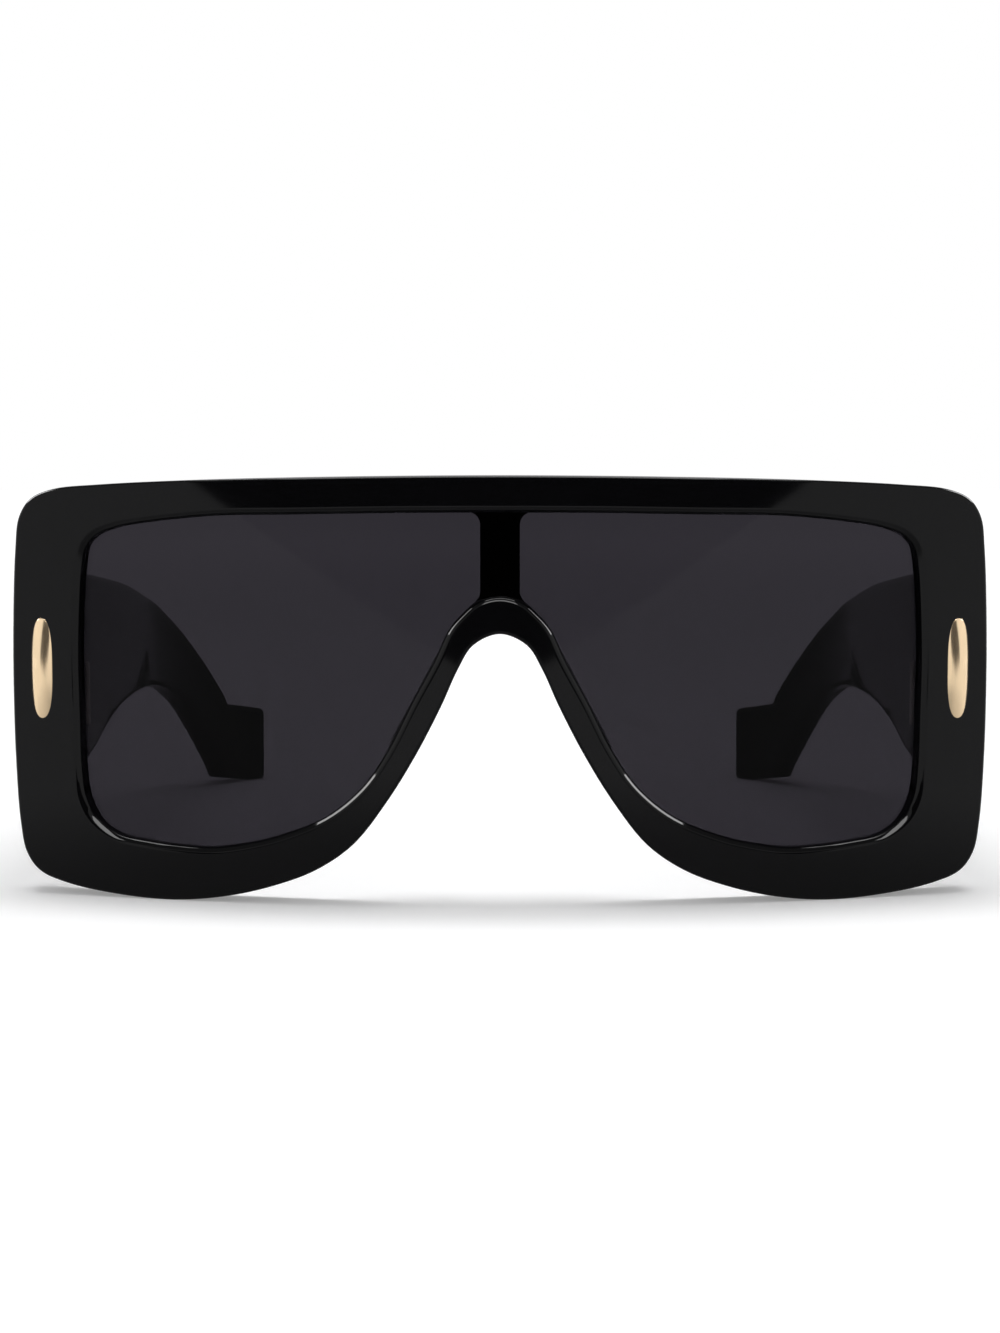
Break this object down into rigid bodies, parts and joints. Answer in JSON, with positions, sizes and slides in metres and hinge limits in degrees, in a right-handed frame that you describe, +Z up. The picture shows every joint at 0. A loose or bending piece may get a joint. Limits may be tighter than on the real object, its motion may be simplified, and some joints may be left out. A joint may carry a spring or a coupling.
{
  "type": "sunglasses",
  "caption": "Oversized black shield sunglasses with a wrapped front, a smoke lens, gold oval corner inlays and broad folding arms that end in flat feet.",
  "frame": {"origin": "middle of the area that the open glasses cover, on the flat surface that they stand on", "axes": "+X to the wearer's left, +Y from the front back along the arms, +Z up; the front's outer face looks along -Y"},
  "size_m": [0.15, 0.1578, 0.0644],
  "materials": {
    "black_acetate": "polished black acetate",
    "smoke_lens": "polished polycarbonate with a dark smoke tint",
    "pad_acetate": "black acetate, tumbled smooth",
    "gold_inlay": "polished pale gold plating",
    "hinge_metal": "satin nickel silver",
    "screw_steel": "turned stainless steel",
    "core_wire": "drawn wire"
  },
  "bodies": {
    "front": {"front_frame": "black_acetate", "shield_lens": "smoke_lens", "left_nose_pad": "pad_acetate", "right_nose_pad": "pad_acetate", "left_corner_inlay": "gold_inlay", "right_corner_inlay": "gold_inlay", "left_front_hinge_leaf": "hinge_metal", "right_front_hinge_leaf": "hinge_metal", "left_front_leaf_screws": "screw_steel", "right_front_leaf_screws": "screw_steel", "left_hinge_screw": "screw_steel", "right_hinge_screw": "screw_steel"},
    "left_arm": {"left_arm": "black_acetate", "left_arm_hinge_leaf": "hinge_metal", "left_arm_leaf_screws": "screw_steel", "left_arm_core_wire": "core_wire"},
    "right_arm": {"right_arm": "black_acetate", "right_arm_hinge_leaf": "hinge_metal", "right_arm_leaf_screws": "screw_steel", "right_arm_core_wire": "core_wire"}
  },
  "joints": [
    {"name": "left_arm_fold", "type": "hinge", "parent": "front", "child": "left_arm", "pos_m": [0.06635, -0.05525, 0.03], "axis": [0, 0, 1], "range_deg": [0, 84.5]},
    {"name": "right_arm_fold", "type": "hinge", "parent": "front", "child": "right_arm", "pos_m": [-0.06635, -0.05525, 0.03], "axis": [0, 0, -1], "range_deg": [0, 66]}
  ]
}
